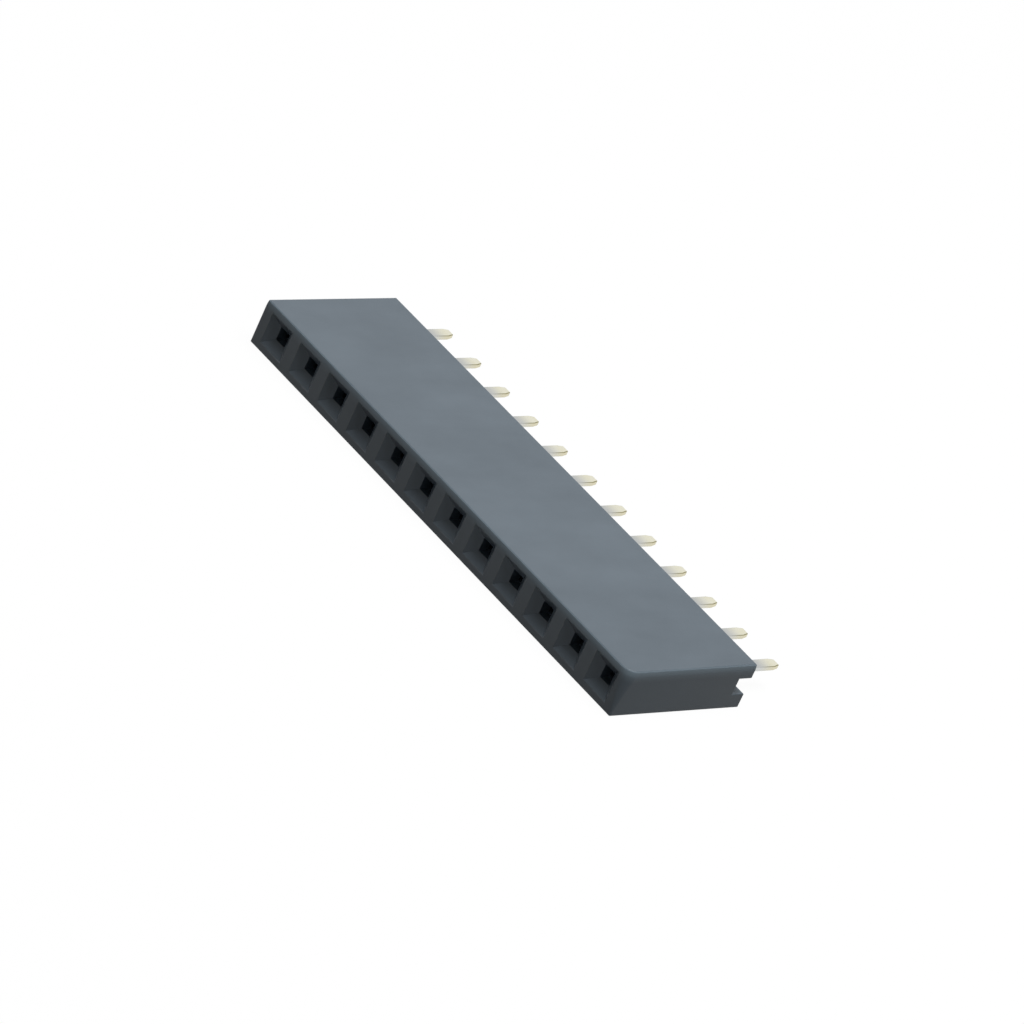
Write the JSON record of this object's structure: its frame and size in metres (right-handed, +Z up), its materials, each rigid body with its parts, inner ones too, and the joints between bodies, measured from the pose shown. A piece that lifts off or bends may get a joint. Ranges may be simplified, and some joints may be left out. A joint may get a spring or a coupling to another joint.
{
  "type": "socket header",
  "caption": "Single-row board-mount socket header: moulded insulator with funnelled square entries, stamped spring contacts and straight solder tails.",
  "frame": {"origin": "middle of the underside of the whole part's box, tails included, as it lies on its long side", "axes": "+X along the row, +Y from the mating face to the tail tips, +Z up, square to the long side that it lies on"},
  "size_m": [0.031, 0.0116, 0.0025],
  "materials": {
    "insulator": "moulded glass-filled polyester, slate grey, matt with a faint flow mottle",
    "contact": "stamped copper alloy strip, tin plated, pale and slightly yellow, satin"
  },
  "bodies": {
    "root": {"housing": "insulator", "contact_01": "contact", "contact_02": "contact", "contact_03": "contact", "contact_04": "contact", "contact_05": "contact", "contact_06": "contact", "contact_07": "contact", "contact_08": "contact", "contact_09": "contact", "contact_10": "contact", "contact_11": "contact", "contact_12": "contact"}
  },
  "joints": []
}
